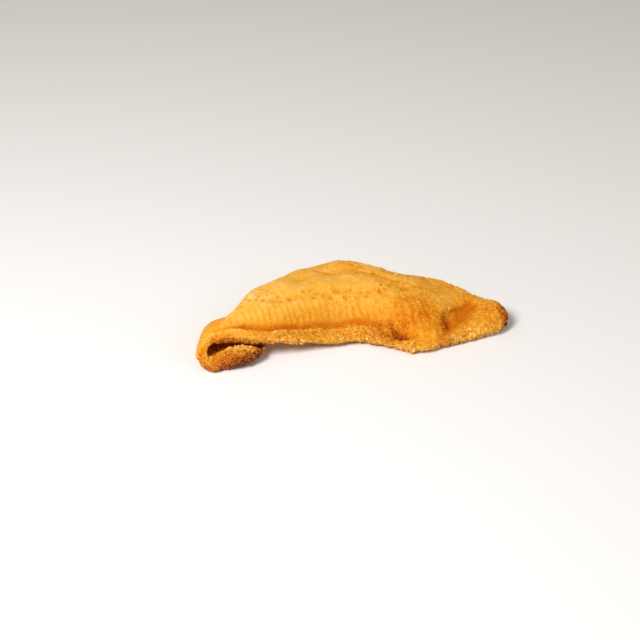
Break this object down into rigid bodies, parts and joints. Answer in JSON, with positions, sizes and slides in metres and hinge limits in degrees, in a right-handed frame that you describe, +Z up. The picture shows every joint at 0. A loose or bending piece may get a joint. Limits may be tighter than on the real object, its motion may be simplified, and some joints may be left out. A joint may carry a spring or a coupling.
{
  "type": "fried fish fillet",
  "caption": "Crumbed, deep-fried fish fillet with a blunt tail, a thin belly edge and its head end curled under.",
  "frame": {"origin": "middle of the footprint's box, on the surface that the fillet rests on", "axes": "+X along the fillet towards its tail, +Y towards its thick back edge, +Z up out of the rounded upper face"},
  "size_m": [0.2278, 0.0976, 0.0339],
  "materials": {
    "crust": "golden fried cornmeal crumb, rough, dull with a faint oily sheen"
  },
  "bodies": {
    "root": {"fillet": "crust"}
  },
  "joints": []
}
